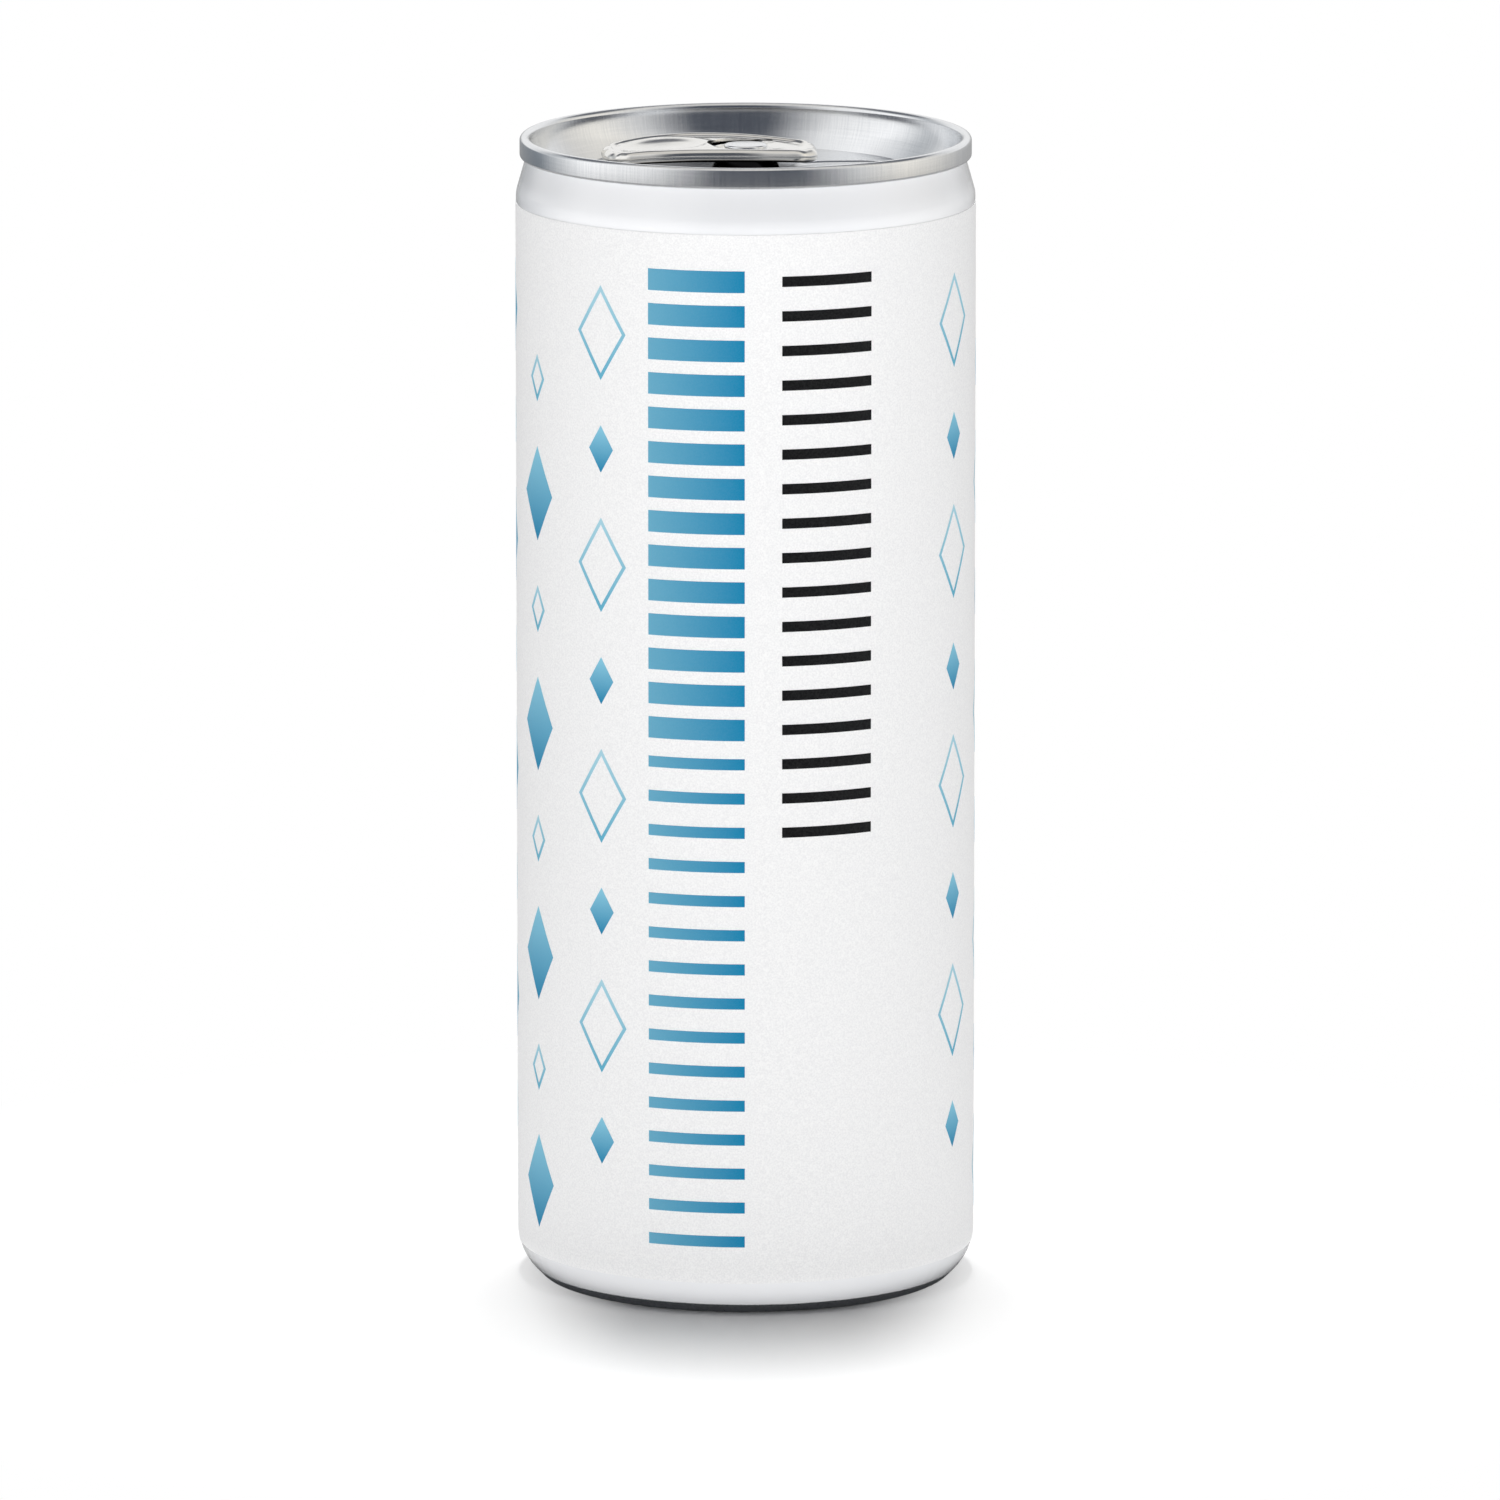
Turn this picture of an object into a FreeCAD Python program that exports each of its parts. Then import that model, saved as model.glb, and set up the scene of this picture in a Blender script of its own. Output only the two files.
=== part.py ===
"""Slim 250 ml aluminium drinks can, shut, as a parametric FreeCAD document.

Millimetres, +Z up. The origin is the middle of the foot, on the surface that the can stands on.
Every driving size is a cell of the sheet "Sizes"; sketches and features are bound to those cells.
The can is shut, so its body is one solid up to the underside of the end.
"""
import FreeCAD, Part
import math
import os
import re
import Sketcher

# alias: (value, what it is)
SIZES = {
    "can_height": (134.0, "from the standing ring to the top of the seam"),
    "body_radius": (26.55, "straight wall of the can"),
    # foot
    "base_bevel": (2.82, "height of the sloping foot, up to where its corner would be"),
    "base_slope": (45.0, "slope of the foot, degrees"),
    "base_round": (6.0, "rounding from the wall into the foot"),
    "stand_width": (1.5, "standing ring, between its two corners"),
    "stand_round": (1.0, "outer rounding of the standing ring"),
    "leg_round": (0.8, "inner rounding of the standing ring"),
    "leg_height": (4.6, "inner leg, up to the dome"),
    "leg_lean": (0.55, "how far the inner leg leans in"),
    "dome_height": (9.5, "height of the pressed dome above the standing ring"),
    "dome_round": (1.2, "rounding where the leg meets the dome"),
    # shoulder and neck
    "shoulder_drop": (6.5, "from the top down to the shoulder, where the cone of the neck begins"),
    "neck_step": (1.15, "how far the neck stands in from the wall, right under the seam"),
    "shoulder_round": (3.0, "rounding from the wall into the neck"),
    # double seam
    "seam_height": (2.45, "height of the double seam"),
    "seam_step": (0.43, "how far the seam stands in from the wall"),
    "seam_width": (1.17, "thickness of the seam"),
    "crown_round": (0.55, "rounding of the seam's crown"),
    "seam_foot_round": (0.35, "rounding of the seam's lower outer edge"),
    # end
    "sheet_thick": (0.25, "sheet of the end"),
    "chuck_drop": (2.3, "from the top down to where the chuck wall begins to slope"),
    "chuck_run": (2.65, "how far the chuck wall slopes in"),
    "chuck_round": (1.5, "rounding at the top of the chuck wall"),
    "groove_drop": (6.8, "from the top down to the floor of the countersink groove"),
    "groove_width": (1.6, "width of the groove's floor, between its corners"),
    "groove_round": (0.6, "roundings of the groove"),
    "panel_drop": (4.35, "from the top down to the centre panel"),
    "panel_lean": (0.4, "how far the panel's wall leans in"),
    "panel_round": (0.5, "rounding at the panel's edge"),
    "fit_gap": (0.05, "clearance between the end's underside and the body"),
    # tear panel
    "tear_reach": (18.6, "from the rivet to the far end of the tear panel's bead"),
    "tear_start": (5.2, "from the rivet to the near end of the tear panel's bead"),
    "tear_half": (7.6, "half the width of the tear panel's bead"),
    "tear_round": (5.0, "corner rounding of the tear panel's bead"),
    "bead_width": (0.8, "width of the raised bead"),
    "bead_height": (0.2, "height of the raised bead"),
    # rivet
    "boss_radius": (2.9, "top of the raised boss that carries the rivet"),
    "boss_lean": (1.6, "how far the boss widens down to the panel"),
    "rivet_radius": (1.6, "shank of the rivet"),
    "head_radius": (2.5, "head of the rivet"),
    "head_thick": (0.45, "thickness of the rivet's head"),
    "head_round": (0.25, "rounding of the rivet's head"),
    # pull tab
    "tab_drop": (0.75, "from the top of the seam down to the top of the tab"),
    "tab_thick": (1.6, "height of the tab's curled rim"),
    "tab_turn": (4.0, "turn of the tab about the rivet, degrees"),
    "heel_reach": (16.6, "from the rivet to the finger end"),
    "nose_reach": (8.2, "from the rivet to the nose"),
    "heel_half": (4.6, "half width of the finger end, between corners"),
    "waist_half": (8.3, "half width at the widest corner"),
    "waist_place": (4.5, "from the rivet back to the widest corner"),
    "nose_half": (4.2, "half width of the nose, between corners"),
    "heel_round": (4.2, "corner rounding of the finger end"),
    "waist_round": (22.0, "corner rounding at the widest place"),
    "nose_round": (3.2, "corner rounding of the nose"),
    "curl_width": (1.5, "width of the curled rim"),
    "curl_round": (0.7, "rounding of the curled rim"),
    "top_recess": (0.3, "depth of the web below the rim's top"),
    "under_recess": (0.35, "depth of the web above the rim's underside"),
    "well_length": (7.6, "length of the finger well"),
    "well_half": (5.6, "half the width of the finger well"),
    "well_place": (7.9, "from the rivet back to the middle of the finger well"),
    "well_depth": (0.55, "depth of the finger well below the web"),
    "well_round": (3.0, "corner rounding of the finger well"),
    "island_radius": (3.1, "round recess for the rivet's head"),
    "island_recess": (0.45, "depth of that recess below the web"),
    "hole_gap": (0.1, "clearance of the tab's hole around the rivet's shank"),
    "slot_inner": (3.6, "from the rivet to the inner edge of the slot round the island"),
    "slot_width": (0.8, "width of that slot"),
    "slot_reach": (3.4, "how far the slot's two arms run towards the nose"),
    "slot_round": (2.4, "outer corner rounding of the slot"),
    # label
    "label_thick": (0.06, "film of the label"),
    "label_bottom": (4.03, "lower edge of the label above the surface"),
    "label_top_drop": (7.6, "from the top of the can down to the label's upper edge"),
}

doc = FreeCAD.newDocument("SlimCan")
sheet = doc.addObject("Spreadsheet::Sheet", "Sizes")


def fill_sheet():
    """Write each size, its alias and its meaning into one row of the sheet."""
    for row, (alias, (number, meaning)) in enumerate(SIZES.items(), start=1):
        sheet.set(f"A{row}", alias.replace("_", " "))
        sheet.set(f"B{row}", str(number))
        sheet.setAlias(f"B{row}", alias)
        sheet.set(f"C{row}", meaning)
    doc.recompute()


def bound(formula):
    """Put the sheet's name before each alias in a formula."""
    return re.sub(r"[a-z]\w*_\w+", lambda word: "Sizes." + word.group(), formula)


def value(formula):
    """Work a formula out now, for the first placing of a sketch's lines."""
    return float(sheet.evalExpression(bound(formula)))


def bind(target, prop, formula):
    """Bind one property of an object to the sheet."""
    target.setExpression(prop, bound(formula))


# Places that more than one piece uses, as formulas.
SEAM_RADIUS = "(body_radius - seam_step)"
SEAM_INNER = "(body_radius - seam_step - seam_width)"
SEAM_FOOT = "(can_height - seam_height)"
GROOVE_OUTER = f"({SEAM_INNER} - chuck_run)"
GROOVE_INNER = f"({GROOVE_OUTER} - groove_width)"
PANEL_RADIUS = f"({GROOVE_INNER} - panel_lean)"
PANEL_TOP = "(can_height - panel_drop)"
TAB_FOOT = "(can_height - tab_drop - tab_thick)"
ISLAND_UNDER = f"({TAB_FOOT} + under_recess)"
ISLAND_TOP = f"({TAB_FOOT} + tab_thick - top_recess - island_recess)"
WALL_FOOT = "(base_bevel + base_round * tan(base_slope / 2))"


def new_body(name):
    """Start a sub-part as a body whose label is its node name."""
    body = doc.addObject("PartDesign::Body", name)
    body.Label = name
    return body


def new_sketch(body, name, role, height=None):
    """Add a sketch on one of the body's own origin planes, lifted by a height if one is given."""
    sketch = body.newObject("Sketcher::SketchObject", name)
    plane = [item for item in body.Origin.OriginFeatures if item.Role == role][0]
    sketch.AttachmentSupport = [(plane, "")]
    sketch.MapMode = "FlatFace"
    if height:
        bind(sketch, "AttachmentOffset.Base.z", height)
    return sketch


def fix_point(sketch, geometry, end, corner):
    """Hold a point of the sketch at its two formulas."""
    for kind, axis, formula in (("DistanceX", -2, corner[0]), ("DistanceY", -1, corner[1])):
        if formula == "0":
            sketch.addConstraint(Sketcher.Constraint("PointOnObject", geometry, end, axis))
        else:
            rule = Sketcher.Constraint(kind, geometry, end, value(formula))
            number = sketch.addConstraint(rule)
            bind(sketch, f"Constraints[{number}]", formula)


def fix_radius(sketch, arc, formula):
    """Hold an arc at the radius of a formula."""
    number = sketch.addConstraint(Sketcher.Constraint("Radius", arc, value(formula)))
    bind(sketch, f"Constraints[{number}]", formula)


def add_arc(sketch, centre, radius, start, finish, left):
    """Add an arc from start to finish and give its number and the ends that lie at each."""
    first, last = (start, finish) if left else (finish, start)
    angles = [math.atan2(point.y - centre.y, point.x - centre.x) for point in (first, last)]
    if angles[1] < angles[0]:
        angles[1] += 2 * math.pi
    circle = Part.Circle(centre, FreeCAD.Vector(0, 0, 1), radius)
    number = sketch.addGeometry(Part.ArcOfCircle(circle, *angles), False)
    return (number, 1, 2) if left else (number, 2, 1)


def draw_outline(sketch, corners):
    """Draw a closed outline whose points and radii follow the sheet.

    A corner is (across, up), (across, up, rounding) or (across, up, None, bulge): a bulge makes
    the edge after it an arc of that radius, to the right of the way drawn if it starts with "-".
    """
    count = len(corners)
    corners = [tuple(corner) + (None,) * (4 - len(corner)) for corner in corners]
    points = [FreeCAD.Vector(value(corner[0]), value(corner[1]), 0) for corner in corners]
    arrive, leave, turns = list(points), list(points), [None] * count
    for index, corner in enumerate(corners):
        if corner[2]:
            before = (points[index] - points[index - 1]).normalize()
            after = (points[(index + 1) % count] - points[index]).normalize()
            left = before.cross(after).z > 0
            radius = value(corner[2])
            reach = radius * math.tan(before.getAngle(after) / 2)
            arrive[index] = points[index] - before * reach
            leave[index] = points[index] + after * reach
            inward = FreeCAD.Vector(-before.y, before.x, 0) * (1 if left else -1)
            turns[index] = (arrive[index] + inward * radius, radius, left)
    edges = []
    for index, corner in enumerate(corners):
        start, finish = leave[index], arrive[(index + 1) % count]
        if corner[3]:
            left = not corner[3].startswith("-")
            radius = value(corner[3].lstrip("-"))
            chord = finish - start
            side = FreeCAD.Vector(-chord.y, chord.x, 0).normalize() * (1 if left else -1)
            centre = (start + finish) * 0.5 + side * math.sqrt(radius ** 2 - chord.Length ** 2 / 4)
            edges.append(add_arc(sketch, centre, radius, start, finish, left))
            fix_radius(sketch, edges[-1][0], corner[3].lstrip("-"))
        else:
            edges.append((sketch.addGeometry(Part.LineSegment(start, finish), False), 1, 2))
    for index, corner in enumerate(corners):
        incoming, outgoing = edges[index - 1], edges[index]
        if turns[index] is None:
            joint = Sketcher.Constraint("Coincident", incoming[0], incoming[2], outgoing[0], outgoing[1])
            sketch.addConstraint(joint)
            fix_point(sketch, outgoing[0], outgoing[1], corner)
            continue
        centre, radius, left = turns[index]
        arc = add_arc(sketch, centre, radius, arrive[index], leave[index], left)
        mark = sketch.addGeometry(Part.Point(points[index]), True)
        sketch.addConstraint([
            Sketcher.Constraint("Tangent", incoming[0], incoming[2], arc[0], arc[1]),
            Sketcher.Constraint("Tangent", arc[0], arc[2], outgoing[0], outgoing[1]),
            Sketcher.Constraint("PointOnObject", mark, 1, incoming[0]),
            Sketcher.Constraint("PointOnObject", mark, 1, outgoing[0]),
        ])
        fix_point(sketch, mark, 1, corner)
        fix_radius(sketch, arc[0], corner[2])


def turned(body, name, corners):
    """Add a solid turned about the can's axis from an outline of radii and heights."""
    sketch = new_sketch(body, name + "Outline", "XZ_Plane")
    draw_outline(sketch, corners)
    feature = body.newObject("PartDesign::Revolution", name)
    feature.Profile = sketch
    feature.ReferenceAxis = (sketch, ["V_Axis"])
    feature.Angle = 360
    return feature


def raised(body, name, outlines, height, thick):
    """Add a plate of a thickness that stands on a height, from one or more outlines."""
    sketch = new_sketch(body, name + "Outline", "XY_Plane", height)
    for outline in outlines:
        draw_outline(sketch, outline)
    feature = body.newObject("PartDesign::Pad", name)
    feature.Profile = sketch
    bind(feature, "Length", thick)
    return feature


def draw_circle(sketch, radius):
    """Draw a circle about the sketch's origin."""
    circle = Part.Circle(FreeCAD.Vector(0, 0, 0), FreeCAD.Vector(0, 0, 1), value(radius))
    number = sketch.addGeometry(circle, False)
    sketch.addConstraint(Sketcher.Constraint("Coincident", number, 3, -1, 1))
    fix_radius(sketch, number, radius)


def sunk(body, name, outline, height, depth, upward=False):
    """Cut an outline, or a circle of a radius, into the body downwards or upward from a height."""
    sketch = new_sketch(body, name + "Outline", "XY_Plane", height)
    if isinstance(outline, str):
        draw_circle(sketch, outline)
    else:
        draw_outline(sketch, outline)
    doc.recompute()
    before = body.Tip.Shape.Volume
    feature = body.newObject("PartDesign::Pocket", name)
    feature.Profile = sketch
    feature.Reversed = upward
    bind(feature, "Length", depth)
    doc.recompute()
    if feature.Shape.Volume > before - 1e-3:
        raise RuntimeError(name + " cuts nothing")
    return feature


def round_edges(body, name, radius, chosen):
    """Round the edges of the body that a test picks out."""
    doc.recompute()
    base = body.Tip
    names = [f"Edge{number}" for number, edge in enumerate(base.Shape.Edges, start=1) if chosen(edge)]
    if not names:
        raise RuntimeError(name + " finds no edge")
    feature = body.newObject("PartDesign::Fillet", name)
    feature.Base = (base, names)
    bind(feature, "Radius", radius)
    doc.recompute()
    return feature


def turn_about_axis(body):
    """Turn a body about the can's axis with the tab."""
    bind(body, "Placement.Rotation.Angle", "tab_turn")


def make_can_body():
    """Drawn and necked body: wall, shoulder, neck, sloping foot, standing ring and dome."""
    body = new_body("can_body")
    foot_outer = "(body_radius - base_bevel / tan(base_slope))"
    leg_foot = f"({foot_outer} - stand_width)"
    leg_top = f"({leg_foot} - leg_lean)"
    rise = "(dome_height - leg_height)"
    dome_curve = f"(({leg_top} * {leg_top} + {rise} * {rise}) / (2 * {rise}))"
    gap = "(sheet_thick + fit_gap)"
    turned(body, "Wall", [
        ("0", "dome_height"),
        ("0", f"{PANEL_TOP} - {gap}"),
        (f"{PANEL_RADIUS} - {gap}", f"{PANEL_TOP} - {gap}"),
        (f"{GROOVE_INNER} - {gap}", f"can_height - groove_drop - {gap}", "groove_round"),
        (f"{GROOVE_OUTER} + {gap}", f"can_height - groove_drop - {gap}", "groove_round"),
        (f"{SEAM_INNER} + {gap}", SEAM_FOOT),
        ("body_radius - neck_step", SEAM_FOOT),
        ("body_radius", "can_height - shoulder_drop", "shoulder_round"),
        ("body_radius", "base_bevel", "base_round"),
        (foot_outer, "0", "stand_round"),
        (leg_foot, "0", "leg_round"),
        (leg_top, "leg_height", None, dome_curve),
    ])

    def at_dome_edge(edge):
        box = edge.BoundBox
        return abs(box.ZMin - value("leg_height")) < 1e-3 and abs(box.ZMax - box.ZMin) < 1e-3

    round_edges(body, "DomeRounding", "dome_round", at_dome_edge)
    return body


def make_can_end():
    """Seamed end: double seam, chuck wall, groove, panel, tear panel's bead, boss and rivet."""
    body = new_body("can_end")
    turned(body, "Shell", [
        ("0", f"{PANEL_TOP} - sheet_thick"),
        (f"{PANEL_RADIUS} - sheet_thick", f"{PANEL_TOP} - sheet_thick"),
        (f"{GROOVE_INNER} - sheet_thick", "can_height - groove_drop - sheet_thick", "groove_round"),
        (f"{GROOVE_OUTER} + sheet_thick", "can_height - groove_drop - sheet_thick", "groove_round"),
        (f"{SEAM_INNER} + sheet_thick", SEAM_FOOT),
        (SEAM_RADIUS, SEAM_FOOT, "seam_foot_round"),
        (SEAM_RADIUS, "can_height", "crown_round"),
        (SEAM_INNER, "can_height", "crown_round"),
        (SEAM_INNER, "can_height - chuck_drop", "chuck_round"),
        (GROOVE_OUTER, "can_height - groove_drop", "groove_round"),
        (GROOVE_INNER, "can_height - groove_drop", "groove_round"),
        (PANEL_RADIUS, PANEL_TOP, "panel_round"),
        ("0", PANEL_TOP),
    ])
    turned(body, "Rivet", [
        ("0", PANEL_TOP),
        ("boss_radius + boss_lean", PANEL_TOP),
        ("boss_radius", ISLAND_UNDER),
        ("rivet_radius", ISLAND_UNDER),
        ("rivet_radius", ISLAND_TOP),
        ("head_radius", ISLAND_TOP),
        ("head_radius", f"{ISLAND_TOP} + head_thick", "head_round"),
        ("0", f"{ISLAND_TOP} + head_thick"),
    ])

    def oval(inset):
        near, far = f"tear_start + {inset}", f"tear_reach - {inset}"
        half, turn = f"(tear_half - {inset})", f"tear_round - {inset}"
        return [(far, f"-{half}", turn), (far, half, turn), (near, half, turn), (near, f"-{half}", turn)]

    raised(body, "TearBead", [oval("0"), oval("bead_width")], PANEL_TOP, "bead_height")
    turn_about_axis(body)
    return body


def make_pull_tab():
    """Stay-on tab: curled rim, sunk web, finger well, island with its slot and the rivet's hole."""
    body = new_body("pull_tab")

    def plan(inset):
        half = [
            (f"nose_reach - {inset}", f"(nose_half - {inset} / 2)", f"nose_round - {inset} / 2"),
            ("-waist_place", f"(waist_half - {inset})", "waist_round"),
            (f"-heel_reach + {inset}", f"(heel_half - {inset} / 2)", f"heel_round - {inset} / 2"),
        ]
        return half + [(x, "-" + y, turn) for x, y, turn in reversed(half)]

    raised(body, "Strip", [plan("0")], None, "tab_thick")
    round_edges(body, "CurledRim", "curl_round", lambda edge: edge.BoundBox.ZLength < 1e-3)
    sunk(body, "Web", plan("curl_width"), "tab_thick", "top_recess")
    sunk(body, "Underside", plan("curl_width"), None, "under_recess", upward=True)
    well_near, well_far = "-(well_place - well_length / 2)", "-(well_place + well_length / 2)"
    sunk(body, "FingerWell", [
        (well_near, "-well_half", "well_round"),
        (well_near, "well_half", "well_round"),
        (well_far, "well_half", "well_round"),
        (well_far, "-well_half", "well_round"),
    ], "tab_thick", "top_recess + well_depth")
    sunk(body, "Island", "island_radius", "tab_thick", "top_recess + island_recess")
    sunk(body, "RivetHole", "rivet_radius + hole_gap", "tab_thick", "tab_thick")
    outer = "(slot_inner + slot_width)"
    inner_round = "slot_round - slot_width"
    sunk(body, "Slot", [
        ("slot_reach", f"-{outer}"),
        ("slot_reach", "-slot_inner"),
        ("-slot_inner", "-slot_inner", inner_round),
        ("-slot_inner", "slot_inner", inner_round),
        ("slot_reach", "slot_inner"),
        ("slot_reach", outer),
        (f"-{outer}", outer, "slot_round"),
        (f"-{outer}", f"-{outer}", "slot_round"),
    ], "tab_thick", "tab_thick")
    turn_about_axis(body)
    bind(body, "Placement.Base.z", TAB_FOOT)
    return body


def make_label_sleeve():
    """Film label round the wall; its lower edge follows the rounding into the foot."""
    body = new_body("label_sleeve")
    dip = f"asin(({WALL_FOOT} - label_bottom) / base_round)"
    outer_round = "(base_round + label_thick)"
    outer = "body_radius + label_thick"
    top = "can_height - label_top_drop"

    def lower_edge(radius):
        return (f"body_radius - base_round + {radius} * cos({dip})", f"{WALL_FOOT} - {radius} * sin({dip})")

    turned(body, "Film", [
        ("body_radius", top),
        ("body_radius", WALL_FOOT, None, "-base_round"),
        lower_edge("base_round"),
        lower_edge(outer_round) + (None, outer_round),
        (outer, WALL_FOOT),
        (outer, top),
    ])
    return body


def check_and_export(bodies):
    """Stop on any failed object or bad shape, then write one STEP file for each sub-part."""
    doc.recompute()
    for item in doc.Objects:
        if "Invalid" in item.State or "Error" in item.State:
            raise RuntimeError(f"{item.Name} is {item.State}")
    for body in bodies:
        shape = body.Shape
        if shape.isNull() or not shape.isValid() or len(shape.Solids) != 1:
            raise RuntimeError(body.Label + " is not one valid solid")
    os.makedirs("parts", exist_ok=True)
    for body in bodies:
        body.Shape.exportStep(f"parts/{body.Label}.step")
        print(body.Label, round(body.Shape.Volume, 1), "mm3")


fill_sheet()
check_and_export([make_can_body(), make_can_end(), make_pull_tab(), make_label_sleeve()])
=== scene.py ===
"""A slim drinks can with a stay-on tab, finished for rendering.

The can body and the label sleeve are the packed model's own nodes and get their finishes here.
The seamed end, the pull tab and the print are modelled here.
Everything is in metres, with +Z up and the printed front facing -Y.
"""

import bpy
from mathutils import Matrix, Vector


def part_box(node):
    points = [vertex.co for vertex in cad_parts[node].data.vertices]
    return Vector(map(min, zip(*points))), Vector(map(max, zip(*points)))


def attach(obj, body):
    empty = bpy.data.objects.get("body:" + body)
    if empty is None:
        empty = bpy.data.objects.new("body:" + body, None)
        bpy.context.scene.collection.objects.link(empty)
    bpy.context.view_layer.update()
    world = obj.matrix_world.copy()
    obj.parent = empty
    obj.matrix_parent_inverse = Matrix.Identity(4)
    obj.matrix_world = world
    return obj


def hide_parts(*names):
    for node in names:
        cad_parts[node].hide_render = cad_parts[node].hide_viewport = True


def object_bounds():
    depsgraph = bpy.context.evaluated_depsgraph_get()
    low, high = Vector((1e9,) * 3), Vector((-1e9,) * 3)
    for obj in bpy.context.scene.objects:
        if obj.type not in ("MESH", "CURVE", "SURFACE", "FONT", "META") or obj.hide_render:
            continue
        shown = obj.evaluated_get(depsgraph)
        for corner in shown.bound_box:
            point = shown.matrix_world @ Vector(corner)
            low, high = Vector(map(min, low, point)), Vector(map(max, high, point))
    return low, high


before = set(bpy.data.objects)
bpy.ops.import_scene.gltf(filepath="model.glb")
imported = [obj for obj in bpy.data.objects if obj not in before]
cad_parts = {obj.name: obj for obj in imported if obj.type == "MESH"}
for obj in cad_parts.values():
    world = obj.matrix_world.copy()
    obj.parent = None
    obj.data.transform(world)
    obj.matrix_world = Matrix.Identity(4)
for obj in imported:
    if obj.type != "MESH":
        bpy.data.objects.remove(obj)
CAD_BOX = [list(corner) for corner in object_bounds()]

import math
from contextlib import contextmanager

import bmesh
import bpy
from bpy.props import FloatProperty, FloatVectorProperty, IntProperty, PointerProperty
from mathutils import Vector

bl_info = {
    "name": "Slim drinks can",
    "version": (1, 0, 0),
    "blender": (4, 5, 0),
    "location": "View3D > Sidebar > Drinks can",
    "description": "Finishes a slim drinks can: lacquer, label, print, end and pull tab",
    "category": "Object",
}

MM = 0.001
FLOOR_Z = CAD_BOX[0][2]
RIM_Z = CAD_BOX[1][2]
TAB_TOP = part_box("pull_tab")[1].z
LABEL_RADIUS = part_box("label_sleeve")[1].x
# The middle of the tab's length, from the rivet.
TAB_MIDDLE = -4.2 * MM
# Points nearer than this are at the same place.
NEAR = 0.01 * MM


# ---------------------------------------------------------------- colours and nodes


def srgb(code):
    """An sRGB hex colour as linear red, green, blue and alpha."""
    parts = [int(code[i : i + 2], 16) / 255 for i in (0, 2, 4)]
    return [p / 12.92 if p <= 0.04045 else ((p + 0.055) / 1.055) ** 2.4 for p in parts] + [1.0]


def add_node(tree, kind, settings=None, **links):
    """Adds a node. A setting named after an input sets it, any other sets the node itself; a link names an
    input and gives an output."""
    node = tree.nodes.new(kind)
    settings = dict(settings or {})
    for name in [n for n in settings if not isinstance(n, int) and n not in node.inputs]:
        setattr(node, name, settings.pop(name))
    for name, setting in settings.items():
        node.inputs[name].default_value = setting
    for name, output in links.items():
        key = int(name[1:]) if name[0] == "_" and name[1:].isdigit() else name.replace("_", " ")
        tree.links.new(output, node.inputs[key])
    return node


def maths(tree, operation, *terms):
    """The result of a math node. A number sets its input, and a socket is linked to it."""
    node = add_node(tree, "ShaderNodeMath", {"operation": operation})
    fill_inputs(tree, node, enumerate(terms))
    return node.outputs[0]


def blend_number(tree, share, low, high):
    """The value that lies at this share of the way from low to high."""
    node = add_node(tree, "ShaderNodeMix", {"data_type": "FLOAT"})
    fill_inputs(tree, node, ((0, share), (2, low), (3, high)))
    return node.outputs[0]


def blend_colour(tree, share, low, high):
    """The colour that lies at this share of the way from low to high."""
    node = add_node(tree, "ShaderNodeMix", {"data_type": "RGBA"})
    fill_inputs(tree, node, ((0, share), (6, low), (7, high)))
    return node.outputs[2]


def fill_inputs(tree, node, inputs):
    """Fills a node's inputs, given by number: a socket is linked, and anything else is set."""
    for place, given in inputs:
        if isinstance(given, bpy.types.NodeSocket):
            tree.links.new(given, node.inputs[place])
        else:
            node.inputs[place].default_value = given


def span(tree, value, source, target=(0.0, 1.0)):
    """The value moved from its place in the source range to the same place in the target range, and held
    within it."""
    ends = {"From Min": source[0], "From Max": source[1], "To Min": target[0], "To Max": target[1]}
    return add_node(tree, "ShaderNodeMapRange", ends, Value=value).outputs[0]


def noise(tree, place, scale, detail, roughness=0.5):
    """Soft noise from 0 to 1 at a place."""
    settings = {"Scale": scale, "Detail": detail, "Roughness": roughness}
    return add_node(tree, "ShaderNodeTexNoise", settings, Vector=place).outputs["Fac"]


def stretch(tree, place, scale, shift=(0.0, 0.0, 0.0)):
    """A place scaled along each axis and then shifted."""
    return add_node(tree, "ShaderNodeMapping", {"Location": shift, "Scale": scale}, Vector=place).outputs[0]


def relief(tree, shader, height, strength, depth):
    """Gives the shader a fine relief that follows a height."""
    bump = add_node(tree, "ShaderNodeBump", {"Strength": strength, "Distance": depth}, Height=height)
    tree.links.new(bump.outputs[0], shader.inputs["Normal"])


def new_material(name):
    """A material with only its shader and its output, and the two."""
    material = bpy.data.materials.new(name)
    material.use_nodes = True
    tree = material.node_tree
    tree.nodes.clear()
    shader = add_node(tree, "ShaderNodeBsdfPrincipled")
    add_node(tree, "ShaderNodeOutputMaterial", Surface=shader.outputs[0])
    return material, tree, shader


def around_axis(tree):
    """Object coordinates as the turn about the can's axis in radians, the distance from it and the height."""
    place = add_node(tree, "ShaderNodeTexCoord").outputs["Object"]
    split = add_node(tree, "ShaderNodeSeparateXYZ", Vector=place).outputs
    turn = maths(tree, "ARCTAN2", split["X"], split["Y"])
    flat = add_node(tree, "ShaderNodeCombineXYZ", X=split["X"], Y=split["Y"]).outputs[0]
    reach = add_node(tree, "ShaderNodeVectorMath", {"operation": "LENGTH"}, _0=flat).outputs["Value"]
    return place, turn, reach, split["Z"]


def put_material(piece, material):
    """Gives every material slot of a piece the material."""
    if not piece.material_slots:
        piece.data.materials.append(material)
    for slot in piece.material_slots:
        slot.material = material


# ---------------------------------------------------------------- modelling


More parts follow.
